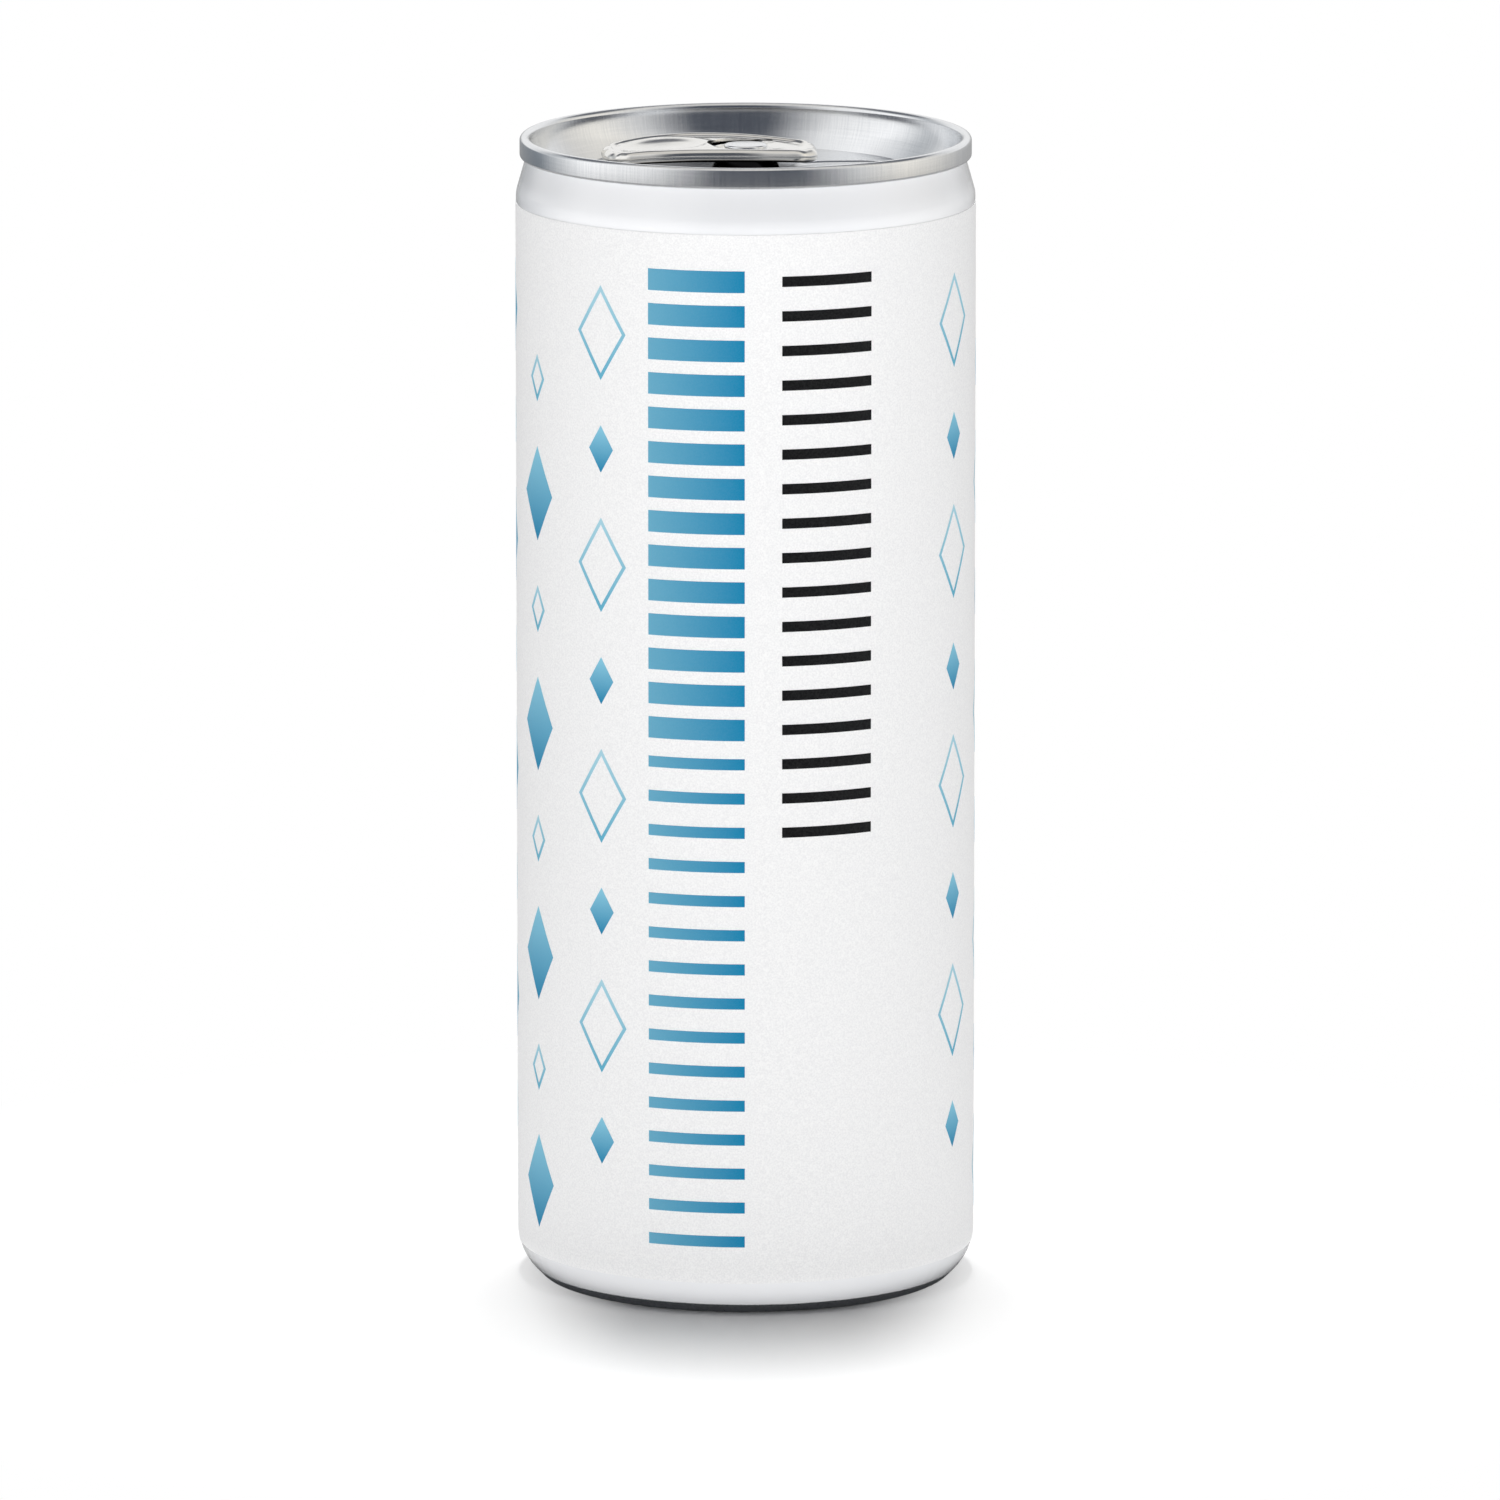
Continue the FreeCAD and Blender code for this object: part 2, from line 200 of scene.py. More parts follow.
def pick(*pieces):
    """Selects only these pieces and makes the first the active one."""
    if bpy.context.object and bpy.context.object.mode != "OBJECT":
        bpy.ops.object.mode_set(mode="OBJECT")
    bpy.ops.object.select_all(action="DESELECT")
    for piece in pieces:
        piece.select_set(True)
    bpy.context.view_layer.objects.active = pieces[0]


@contextmanager
def editing(piece, kind="VERT"):
    """Edit mode on a piece, with all of it selected."""
    pick(piece)
    bpy.ops.object.mode_set(mode="EDIT")
    bpy.ops.mesh.select_mode(type=kind)
    bpy.ops.mesh.select_all(action="SELECT")
    yield
    bpy.ops.object.mode_set(mode="OBJECT")


def choose(piece, kind, test):
    """Selects only the vertices, edges or faces for which the test holds."""
    bpy.ops.mesh.select_all(action="DESELECT")
    bpy.ops.mesh.select_mode(type=kind)
    mesh = bmesh.from_edit_mesh(piece.data)
    parts = {"VERT": mesh.verts, "EDGE": mesh.edges, "FACE": mesh.faces}[kind]
    for part in parts:
        if test(part):
            part.select_set(True)
    mesh.select_flush_mode()
    bmesh.update_edit_mesh(piece.data)


def apply_all(piece):
    """Applies a piece's place and then its modifiers."""
    pick(piece)
    bpy.ops.object.transform_apply(location=True, rotation=True, scale=True)
    for modifier in list(piece.modifiers):
        bpy.ops.object.modifier_apply(modifier=modifier.name)


def join(name, pieces):
    """Joins pieces into one, with its own name and its place in its mesh."""
    pick(*pieces)
    if len(pieces) > 1:
        bpy.ops.object.join()
    piece = bpy.context.object
    bpy.ops.object.transform_apply(location=True, rotation=True, scale=True)
    piece.name = piece.data.name = name
    return piece


def new_polygon(corners):
    """A flat face in the XY plane with these corners, in metres, facing up."""
    bpy.ops.object.select_all(action="DESELECT")
    bpy.ops.mesh.primitive_circle_add(vertices=len(corners), radius=1.0, fill_type="NGON")
    piece = bpy.context.object
    for vertex, (x, y) in zip(piece.data.vertices, corners):
        vertex.co = (x, y, 0.0)
    piece.data.update()
    if piece.data.polygons[0].normal.z < 0:
        with editing(piece):
            bpy.ops.mesh.flip_normals()
    return piece


def turn_about_rivet(piece, turn):
    """Turns a piece about the rivet, which stands on the can's axis."""
    with editing(piece):
        bpy.ops.transform.rotate(value=-turn, orient_axis="Z", center_override=(0, 0, 0))


def cut_with(piece, cutter):
    """Cuts the cutter out of the piece."""
    pick(piece)
    modifier = piece.modifiers.new("Cut", "BOOLEAN")
    modifier.operation, modifier.solver, modifier.object = "DIFFERENCE", "EXACT", cutter
    bpy.ops.object.modifier_apply(modifier=modifier.name)
    bpy.data.objects.remove(cutter)


def smooth(value):
    """An even rise from 0 to 1 with flat ends."""
    value = min(1.0, max(0.0, value))
    return value * value * (3 - 2 * value)


# ---------------------------------------------------------------- settings


def length(name, description, metres):
    """A length to be set in the panel."""
    return FloatProperty(name=name, description=description, default=metres, unit="LENGTH")


def angle(name, description, degrees):
    """An angle to be set in the panel."""
    return FloatProperty(name=name, description=description, default=math.radians(degrees), unit="ROTATION")


def amount(name, description, value):
    """A plain number to be set in the panel."""
    return FloatProperty(name=name, description=description, default=value)


def tint(name, description, code):
    """A colour to be set in the panel, from its sRGB hex code."""
    shown = {"name": name, "description": description, "subtype": "COLOR"}
    return FloatVectorProperty(size=4, default=srgb(code), **shown)


class TabSizes(bpy.types.PropertyGroup):
    """Sizes of the stay-on tab"""

    heel_reach: length("Heel reach", "From the rivet to the finger end", 16.6 * MM)
    nose_reach: length("Nose reach", "From the rivet to the end that opens the can", 8.2 * MM)
    waist_place: length("Waist place", "Where the tab is widest, from the rivet", -4.5 * MM)
    waist_half: length("Waist half width", "Half width at the widest corner, before rounding", 8.5 * MM)
    heel_half: length("Heel half width", "Half width of the finger end", 4.7 * MM)
    nose_half: length("Nose half width", "Half width of the opening end", 4.3 * MM)
    waist_round: length("Waist rounding", "Rounding of the widest corners", 7.0 * MM)
    heel_round: length("Heel rounding", "Rounding of the finger end's corners", 3.1 * MM)
    nose_round: length("Nose rounding", "Rounding of the opening end's corners", 2.4 * MM)
    curl_radius: length("Curl radius", "Radius of the curled edge", 0.75 * MM)
    web_rise: length("Web rise", "Top of the sheet above the middle of the curl", 0.42 * MM)
    web_thick: length("Web thickness", "Thickness of the sheet inside the curl", 0.3 * MM)
    island_drop: length("Island drop", "From the top of the tab down to the level island", 0.75 * MM)
    hole_radius: length("Rivet hole", "Radius of the hole that the rivet's stem fills", 1.7 * MM)
    dip_depth: length("Dip depth", "Depth of the finger dip", 0.55 * MM)
    dip_lip: length("Dip lip", "Height of the lip round the finger dip", 0.16 * MM)
    pucker: length("Pucker", "Height of the puckers at the tight corners", 0.045 * MM)
    turn: angle("Turn", "Turn of the tab about the rivet", 4.0)


class EndSizes(bpy.types.PropertyGroup):
    """Sizes of the seamed end"""

    seam_radius: length("Seam radius", "Outside of the double seam", 26.12 * MM)
    seam_inside: length("Seam inside", "Inside of the double seam", 24.95 * MM)
    seam_height: length("Seam height", "Height of the double seam", 2.45 * MM)
    chuck_drop: length("Chuck wall drop", "From the top down to where the chuck wall slopes", 2.0 * MM)
    groove_outside: length("Groove outside", "Outer side of the countersink groove", 22.3 * MM)
    groove_inside: length("Groove inside", "Inner side of the countersink groove", 20.7 * MM)
    groove_drop: length("Groove drop", "From the top down to the groove's floor", 6.8 * MM)
    panel_radius: length("Panel radius", "Edge of the centre panel", 20.3 * MM)
    panel_drop: length("Panel drop", "From the top down to the centre panel", 4.35 * MM)
    rivet_drop: length("Rivet drop", "From the top down to the rivet's head", 1.05 * MM)
    rivet_under: length("Rivet underside", "From the top down to the underside of the rivet's head", 1.5 * MM)
    rivet_radius: length("Rivet radius", "Radius of the rivet's head", 2.5 * MM)
    stem_radius: length("Stem radius", "Radius of the rivet's stem", 1.6 * MM)
    boss_drop: length("Boss drop", "From the top down to the boss that carries the rivet", 2.0 * MM)
    boss_radius: length("Boss radius", "Radius of the boss at its top", 2.9 * MM)
    boss_foot: length("Boss foot", "Radius of the boss where it meets the panel", 4.5 * MM)
    rivet_round: length("Rivet rounding", "Rounding of the rivet's head", 0.25 * MM)
    boss_round: length("Boss rounding", "Rounding of the boss's top", 0.3 * MM)
    bend_round: length("Bend rounding", "Rounding of the groove and of the boss's foot", 0.5 * MM)
    panel_round: length("Panel rounding", "Rounding of the panel's edge", 0.43 * MM)
    chuck_round: length("Chuck wall rounding", "Rounding where the chuck wall slopes", 1.4 * MM)
    seam_round: length("Seam rounding", "Rounding of the seam's top", 0.55 * MM)
    seam_foot_round: length("Seam foot rounding", "Rounding of the seam's foot", 0.35 * MM)
    sheet: length("Sheet", "Thickness of the sheet", 0.25 * MM)
    bead_near: length("Bead, near end", "From the rivet to the tear panel's bead", 5.2 * MM)
    bead_far: length("Bead, far end", "From the rivet to the far end of the bead", 18.6 * MM)
    bead_half: length("Bead half width", "Half the width of the tear panel's bead", 7.6 * MM)
    bead_round: length("Bead rounding", "Corner rounding of the bead", 5.0 * MM)
    bead_width: length("Bead width", "Width of the raised bead", 0.8 * MM)
    bead_height: length("Bead height", "Height of the raised bead", 0.2 * MM)


class PrintSizes(bpy.types.PropertyGroup):
    """Sizes and inks of the label's print"""

    ink_thick: length("Ink thickness", "How far the ink stands off the label", 0.02 * MM)
    column_left: length("Blue column, left", "Left edge of the blue column, round from the front", -11.5 * MM)
    column_width: length("Blue column width", "Width of the blue column", 11.4 * MM)
    black_left: length("Black column, left", "Left edge of the black column, round from the front", 4.2 * MM)
    black_width: length("Black column width", "Width of the black column", 11.0 * MM)
    files: IntProperty(name="Files", description="Upright files of lozenges round the can", default=14)
    rows: IntProperty(name="Rows", description="Lozenges in one file, of both kinds", default=8)
    first_row: length("First row", "Height of the lowest row's middle", 13 * MM)
    row_pitch: length("Row pitch", "From one lozenge of a file to the next", 13.5 * MM)
    lozenge_wide: length("Lozenge width", "Width of a large lozenge; a small one has half", 7 * MM)
    lozenge_tall: length("Lozenge height", "Height of a large lozenge; a small one has half", 11 * MM)
    clear: length("Clear", "Bare width beside the columns of bars", 1 * MM)
    outline: length("Outline width", "Line width of the outlined lozenges", 0.42 * MM)
    blue_dark: tint("Blue, dark end", "Dark end of the blue ink's fade", "007EAA")
    blue_light: tint("Blue, light end", "Light end of the blue ink's fade", "63A5C1")
    lozenge_light: tint("Lozenge light blue", "Pale end of the lozenges' fade", "88C8DF")
    line_dark: tint("Outline blue, dark end", "Dark end of the outlines' fade", "5AA9C6")
    line_light: tint("Outline blue, light end", "Light end of the outlines' fade", "A6D0DF")
    black: tint("Black", "The black ink", "0C0D0F")


class Finishes(bpy.types.PropertyGroup):
    """Colours of the can's finishes"""

    lacquer: tint("White lacquer", "The base coat on the body", "F7F8FA")
    film: tint("Label film", "The matt white label", "F4F4F4")
    end_metal: tint("End aluminium", "The brushed can end", "F1F2F3")
    tab_metal: tint("Tab aluminium", "The bright tab strip", "F5F4F1")
    grain: length("Label grain", "Size of the label's speckle", 0.2 * MM)
    shade_reach: length("Shade reach", "Half the length of the shaded oval under the tab", 14.2 * MM)
    shade_half: length("Shade half width", "Half the width of the shaded oval under the tab", 9.4 * MM)
    brush: length("Brush line spacing", "Width of the end's drawing lines", 0.16 * MM)


class Studio(bpy.types.PropertyGroup):
    """Floor, light and camera"""

    distance: length("Camera distance", "Along the floor, from the can's axis", 1.85)
    height: length("Camera height", "Above the floor", 0.4116)
    sideways: length("Camera sideways", "To the right of the can's axis", 0.5 * MM)
    pitch: angle("Camera pitch", "How far it looks down", 10.71)
    lens: amount("Lens", "Focal length in millimetres on a 36 mm sensor", 388.5)
    floor_radius: length("Floor radius", "Radius of the round table top", 0.45)
    top_power: amount("Top lamp", "Power of the soft lamp overhead, in watts", 25.0)
    front_light: amount("Front light", "Brightness of the room in front of the can", 2.2)
    table_glow: amount("Table glow", "How strongly the table top lights the can from below", 0.92)
    side_light: amount("Side light", "Brightness of the room to the left and right of the front", 0.9)
    back_light: amount("Back light", "Brightness of the room behind the can", 0.35)
    wash_near: length("Shadow wash, near", "The can's shadow stays whole out to here", 11 * MM)
    wash_far: length("Shadow wash, far", "From here outwards the shadow is washed out most", 29 * MM)
    wash: amount("Shadow wash", "Share of the can's shadow that is washed out at the sides", 0.7)
    fade_near: length("Table fade, near", "Where the table top starts to fade into the white", 60 * MM)
    fade_far: length("Table fade, far", "Where the table top has faded into the white", 130 * MM)
    glow_near: length("Glow, near", "Where the table top starts to light the can from below", 24.5 * MM)
    glow_far: length("Glow, far", "Where the table top's glow is full", 31 * MM)
    table_grey: amount("Table grey", "How light the table top is to the light that it throws back", 0.45)
    mirrored_grey: amount("Mirrored table grey", "How light the table top is in what metal mirrors", 0.4)
    lamp_back: length("Lamp place", "How far behind the can's axis the lamp hangs", 0.2)
    lamp_height: length("Lamp height", "Height of the lamp", 1.6)
    lamp_width: length("Lamp width", "Width of the lamp, from left to right", 0.2)
    lamp_length: length("Lamp length", "Length of the lamp, from front to back", 0.42)
    ceiling_light: amount("Ceiling light", "Brightness of the room overhead, beside the lamp", 0.06)


# ---------------------------------------------------------------- finishes


def make_lacquer(finish):
    """Gloss white base coat and clear varnish on drawn aluminium. It gives a clean, wet white that mirrors
    the soft boxes faintly. The coat stops short of the standing ring, so the ring and the dome inside it
    are bare metal."""
    material, tree, shader = new_material("gloss_white_lacquer_on_aluminium")
    place, turn, reach, height = around_axis(tree)
    waver = noise(tree, place, 1 / (4 * MM), 3.0)
    edge = maths(tree, "MULTIPLY_ADD", waver, 0.16 * MM, 1.15 * MM)
    below = maths(tree, "SUBTRACT", edge, height)
    low = span(tree, below, (0.0, 0.06 * MM))
    inside = span(tree, reach, (22.9 * MM, 22.8 * MM))
    near_floor = maths(tree, "LESS_THAN", height, 12 * MM)
    dome = maths(tree, "MULTIPLY", inside, near_floor)
    bare = maths(tree, "MAXIMUM", low, dome)
    mottle = noise(tree, place, 1 / (9 * MM), 4.0)
    white = blend_colour(tree, mottle, srgb("F2F3F6"), finish.lacquer)
    # Drawing lines of the bare ring, a quarter of a millimetre apart.
    drawn = add_node(tree, "ShaderNodeCombineXYZ", X=turn, Z=height).outputs[0]
    lines = stretch(tree, drawn, (60.0, 0.0, 1 / (0.25 * MM)))
    streak = noise(tree, lines, 1.0, 3.0)
    metal = blend_colour(tree, streak, srgb("A6ABB4"), srgb("DDE0E4"))
    tree.links.new(blend_colour(tree, bare, white, metal), shader.inputs["Base Color"])
    tree.links.new(bare, shader.inputs["Metallic"])
    rough = span(tree, mottle, (0.0, 1.0), (0.16, 0.26))
    ring_rough = span(tree, streak, (0.0, 1.0), (0.22, 0.4))
    tree.links.new(blend_number(tree, bare, rough, ring_rough), shader.inputs["Roughness"])
    coat = span(tree, bare, (0.0, 1.0), (1.0, 0.0))
    tree.links.new(coat, shader.inputs["Coat Weight"])
    shader.inputs["Coat Roughness"].default_value = 0.1
    shader.inputs["IOR"].default_value = 1.6
    peel = noise(tree, place, 1 / (1.2 * MM), 2.0)
    relief(tree, shader, peel, 0.12, 0.02 * MM)
    return material


def make_end_metal(finish):
    """Rolled and drawn aluminium sheet, brushed by the tools that press and seam it. Fine upright lines on
    the seam and the chuck wall blur what it mirrors into soft bands, and lines of the rolling mill cross
    the flat panel."""
    material, tree, shader = new_material("brushed_drawn_aluminium_end")
    place, turn, reach, height = around_axis(tree)
    spread = maths(tree, "MULTIPLY", turn, 25 * MM)
    wall = add_node(tree, "ShaderNodeCombineXYZ", X=spread, Z=height).outputs[0]
    upright = stretch(tree, wall, (1 / finish.brush, 0.0, 1 / (30 * finish.brush)))
    level = stretch(tree, wall, (1 / (60 * finish.brush), 0.0, 1 / (0.7 * finish.brush)))
    milled = stretch(tree, place, (1 / (40 * finish.brush), 1 / finish.brush, 0.0))
    fine = noise(tree, upright, 1.0, 4.0, 0.6)
    rings = noise(tree, level, 1.0, 2.0)
    sheet = noise(tree, milled, 1.0, 4.0)
    on_wall = span(tree, reach, (20.0 * MM, 20.6 * MM))
    drawn = blend_number(tree, 0.35, fine, rings)
    lines = blend_number(tree, on_wall, sheet, drawn)
    shade = span(tree, lines, (0.3, 0.7))
    colour = blend_colour(tree, shade, srgb("DCDEE1"), finish.end_metal)
    # A painted dark oval stands for the shade of the tab on the sheet under it.
    scale = (1 / finish.shade_reach, 1 / finish.shade_half, 0)
    oval = stretch(tree, place, scale, (-TAB_MIDDLE / finish.shade_reach, 0, 0))
    away = add_node(tree, "ShaderNodeVectorMath", {"operation": "LENGTH"}, _0=oval).outputs["Value"]
    near = span(tree, away, (1.0, 0.78))
    beneath = maths(tree, "LESS_THAN", height, TAB_TOP - 1.0 * MM)
    shaded = maths(tree, "MULTIPLY", near, beneath)
    colour = blend_colour(tree, shaded, colour, srgb("1A1A1C"))
    tree.links.new(colour, shader.inputs["Base Color"])
    shader.inputs["Metallic"].default_value = 1.0
    rough = span(tree, lines, (0.3, 0.7), (0.15, 0.23))
    tree.links.new(rough, shader.inputs["Roughness"])
    relief(tree, shader, lines, 0.06, 0.01 * MM)
    return material


def make_tab_metal(finish):
    """Bright aluminium strip, curled and coined by the press. It is smoother than the end, so it shows
    near-white highlights against near-black gaps, with faint lines along the strip."""
    material, tree, shader = new_material("bright_pressed_aluminium_tab")
    place = add_node(tree, "ShaderNodeTexCoord").outputs["Object"]
    along = stretch(tree, place, (1 / (6 * MM), 1 / (0.2 * MM), 1 / (0.2 * MM)))
    lines = noise(tree, along, 1.0, 3.0)
    blotch = noise(tree, place, 1 / (2.5 * MM), 3.0)
    colour = blend_colour(tree, blotch, srgb("E2E0DC"), finish.tab_metal)
    # The underside is painted dark, for the shade that it lies in.
    under = add_node(tree, "ShaderNodeAttribute", {"attribute_name": "under"}).outputs["Fac"]
    colour = blend_colour(tree, under, colour, srgb("2A2A2C"))
    tree.links.new(colour, shader.inputs["Base Color"])
    shader.inputs["Metallic"].default_value = 1.0
    both = blend_number(tree, 0.5, lines, blotch)
    rough = span(tree, both, (0.3, 0.7), (0.1, 0.2))
    tree.links.new(rough, shader.inputs["Roughness"])
    relief(tree, shader, both, 0.3, 0.02 * MM)
    return material


def film_grain(tree, place, finish):
    """The speckle of the matt film: grains of a fifth of a millimetre in a fainter, coarser mottle."""
    speck = noise(tree, place, 1.0 / finish.grain, 1.0)
    mottle = noise(tree, place, 0.35 / finish.grain, 1.0)
    return blend_number(tree, 0.15, speck, mottle)


def make_film(finish):
    """Matt laminated label film over white ink. Its fine grain breaks the light up, so it shades softly
    round the can with no mirror image in it."""
    material, tree, shader = new_material("matt_white_label_film")
    place = add_node(tree, "ShaderNodeTexCoord").outputs["Object"]
    grain = film_grain(tree, place, finish)
    shade = span(tree, grain, (0.35, 0.65))
    colour = blend_colour(tree, shade, srgb("E9E9EA"), finish.film)
    tree.links.new(colour, shader.inputs["Base Color"])
    rough = span(tree, grain, (0.0, 1.0), (0.62, 0.78))
    tree.links.new(rough, shader.inputs["Roughness"])
    shader.inputs["Specular IOR Level"].default_value = 0.3
    relief(tree, shader, grain, 0.3, 0.03 * MM)
    return material


def make_ink(name, dark, light, finish):
    """Screened process ink under the same matt film. It fades from a deep to a pale tone across each
    printed shape, and the film's grain shows in it as a faint sparkle."""
    material, tree, shader = new_material(name)
    place = add_node(tree, "ShaderNodeTexCoord").outputs["Object"]
    grain = film_grain(tree, place, finish)
    fade = add_node(tree, "ShaderNodeAttribute", {"attribute_name": "fade"}).outputs["Fac"]
    tone = blend_colour(tree, fade, dark, light)
    speck = span(tree, grain, (0.35, 0.65), (0.0, 0.012))
    colour = blend_colour(tree, speck, tone, srgb("F4F4F4"))
    tree.links.new(colour, shader.inputs["Base Color"])
    rough = span(tree, grain, (0.0, 1.0), (0.5, 0.7))
    tree.links.new(rough, shader.inputs["Roughness"])
    shader.inputs["Specular IOR Level"].default_value = 0.1
    relief(tree, shader, grain, 0.25, 0.03 * MM)
    return material


class CAN_OT_finish_nodes(bpy.types.Operator):
    """Gives the body and the label sleeve their finishes"""

    bl_idname = "can.finish_nodes"
    bl_label = "Finish body and label"

    def execute(self, context):
        finish = context.scene.can_finishes
        put_material(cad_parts["can_body"], make_lacquer(finish))
        put_material(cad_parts["label_sleeve"], make_film(finish))
        return {"FINISHED"}


# ---------------------------------------------------------------- seamed end


def is_level(edge, height):
    """Whether an edge of the section lies at this height."""
    return all(abs(vertex.co.y - height) < NEAR for vertex in edge.verts)


def end_outline(end):
    """Half the section of the end and its rivet as a flat face, with X outwards and Y upwards from the top
    of the seam."""
    panel, groove, sheet = -end.panel_drop, -end.groove_drop, end.sheet
    head, shelf, boss, foot = -end.rivet_drop, -end.rivet_under, -end.boss_drop, -end.seam_height
    outline = new_polygon([
        (0, head), (end.rivet_radius, head), (end.rivet_radius, shelf), (end.stem_radius, shelf),
        (end.stem_radius, boss), (end.boss_radius, boss), (end.boss_foot, panel), (end.panel_radius, panel),
        (end.groove_inside, groove), (end.groove_outside, groove), (end.seam_inside, -end.chuck_drop),
        (end.seam_inside, 0), (end.seam_radius, 0), (end.seam_radius, foot), (end.seam_inside + sheet, foot),
        (end.groove_outside + sheet, groove - sheet), (end.groove_inside - sheet, groove - sheet),
        (end.panel_radius - sheet, panel - sheet), (0, panel - sheet),
    ])
    # Corner, rounding and the number of steps in it.
    rounds = (
        (end.rivet_radius, head, end.rivet_round, 6),
        (end.boss_radius, boss, end.boss_round, 4),
        (end.boss_foot, panel, end.bend_round, 5),
        (end.panel_radius, panel, end.panel_round, 7),
        (end.groove_inside, groove, end.bend_round, 7),
        (end.groove_outside, groove, end.bend_round, 7),
        (end.seam_inside, -end.chuck_drop, end.chuck_round, 12),
        (end.seam_inside, 0, end.seam_round, 12),
        (end.seam_radius, 0, end.seam_round, 12),
        (end.seam_radius, foot, end.seam_foot_round, 7),
        (end.groove_outside + sheet, groove - sheet, end.bend_round, 5),
        (end.groove_inside - sheet, groove - sheet, end.bend_round, 5),
    )
    with editing(outline):
        for x, y, offset, steps in rounds:
            choose(outline, "VERT", lambda v: math.hypot(v.co.x - x, v.co.y - y) < NEAR)
            bpy.ops.mesh.bevel(offset=offset, segments=steps, affect="VERTICES")
        # The panel is cut fine enough to carry the bead.
        choose(outline, "EDGE", lambda e: e.calc_length() > 12 * MM and is_level(e, panel))
        bpy.ops.mesh.subdivide(number_cuts=56)
    return outline


def press_bead(piece, end):
    """Raises the rounded bead that borders the tear panel."""
    centre, half = (end.bead_near + end.bead_far) / 2, (end.bead_far - end.bead_near) / 2
    top = RIM_Z - end.panel_drop
    for vertex in piece.data.vertices:
        x, y, z = vertex.co
        if abs(z - top) < NEAR:
            across, along = abs(y) - end.bead_half + end.bead_round, abs(x - centre) - half + end.bead_round
            outside = math.hypot(max(across, 0), max(along, 0)) + min(max(across, along), 0) - end.bead_round
            off_crest = abs(outside + end.bead_width / 2)
            vertex.co.z += end.bead_height * smooth(1 - off_crest / (0.8 * end.bead_width))


class CAN_OT_make_end(bpy.types.Operator):
    """Turns the seamed end with its rivet from its section, and presses the tear panel's bead"""

    bl_idname = "can.make_end"
    bl_label = "Make seamed end"

    def execute(self, context):
        end = context.scene.can_end
        piece = end_outline(end)
        with editing(piece, "FACE"):
            bpy.ops.mesh.delete(type="ONLY_FACE")
            choose(piece, "EDGE", lambda e: all(abs(v.co.x) < 0.001 * MM for v in e.verts))
            bpy.ops.mesh.delete(type="EDGE_FACE")
        for vertex in piece.data.vertices:
            x, y, _ = vertex.co
            vertex.co = (x, 0, y + RIM_Z)
        turned = piece.modifiers.new("Turn", "SCREW")
        turned.axis, turned.angle, turned.screw_offset = "Z", math.tau, 0.0
        turned.steps = turned.render_steps = 384
        turned.use_merge_vertices, turned.merge_threshold = True, 0.001 * MM
        piece = join("seamed_end", [piece])
        pick(piece)
        bpy.ops.object.modifier_apply(modifier=turned.name)
        with editing(piece):
            bpy.ops.mesh.remove_doubles(threshold=0.001 * MM)
            bpy.ops.mesh.normals_make_consistent(inside=False)
        press_bead(piece, end)
        turn_about_rivet(piece, context.scene.can_tab.turn)
        pick(piece)
        bpy.ops.object.shade_smooth_by_angle(angle=math.radians(40))
        put_material(piece, make_end_metal(context.scene.can_finishes))
        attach(piece, "root")
        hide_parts("can_end")
        return {"FINISHED"}


# ---------------------------------------------------------------- pull tab


def tab_outline(tab):
    """The tab's rounded outline as one flat face, at the height of the curl's middle."""
    outline = new_polygon([
        (tab.nose_reach, tab.nose_half),
        (tab.waist_place, tab.waist_half),
        (-tab.heel_reach, tab.heel_half),
        (-tab.heel_reach, -tab.heel_half),
        (tab.waist_place, -tab.waist_half),
        (tab.nose_reach, -tab.nose_half),
    ])
    with editing(outline):
        rounds = (
            (tab.waist_place, tab.waist_round, 24),
            (-tab.heel_reach, tab.heel_round, 14),
            (tab.nose_reach, tab.nose_round, 12),
        )
        for x, offset, steps in rounds:
            choose(outline, "VERT", lambda v: abs(v.co.x - x) < NEAR)
            bpy.ops.mesh.bevel(offset=offset, segments=steps, affect="VERTICES")
        for _ in range(4):
            choose(outline, "EDGE", lambda e: e.calc_length() > 0.6 * MM)
            bpy.ops.mesh.subdivide(number_cuts=1)
    return outline


def curl_and_web(half, tab, side):
    """Turns the outline face into the upper (side 1) or lower (side -1) skin: the curl's arc, then the web
    inside it."""
    curl = tab.curl_radius
    web = tab.web_rise if side > 0 else tab.web_rise - tab.web_thick
    angles = [math.radians(degrees) for degrees in range(0, 136, 15)]
    steps = [(curl * (1 - math.cos(a)), side * curl * math.sin(a)) for a in angles]
    steps += [(2.0 * curl, web + 0.04 * MM * side), (2.3 * curl, web)]
    with editing(half, "FACE"):
        for (d0, z0), (d1, z1) in zip(steps, steps[1:]):
            bpy.ops.mesh.inset(thickness=d1 - d0, depth=0.0)
            bpy.ops.transform.translate(value=(0, 0, z1 - z0))
        size = 1.0
        # Even rings towards the middle, which give the web enough points to be pressed.
        for share in [0.93 - 0.07 * ring for ring in range(12)] + [0.08]:
            bpy.ops.mesh.extrude_region_move()
            scale = (share / size, share / size, 1)
            bpy.ops.transform.resize(value=scale, center_override=(TAB_MIDDLE, 0.0, web))
            size = share
        bpy.ops.mesh.extrude_region_move()
        bpy.ops.mesh.merge(type="CENTER")
        if side < 0:
            bpy.ops.mesh.select_all(action="SELECT")
            bpy.ops.mesh.flip_normals()


# The tab's pressed form, in millimetres from the rivet along the tab, with the finger end negative.
# It bows up to a crest and falls faster towards the finger end than towards the nose.
BOW_CREST, BOW_RISE, HEEL_FALL, NOSE_FALL = -5.4, 0.1, 0.0077, 0.0040
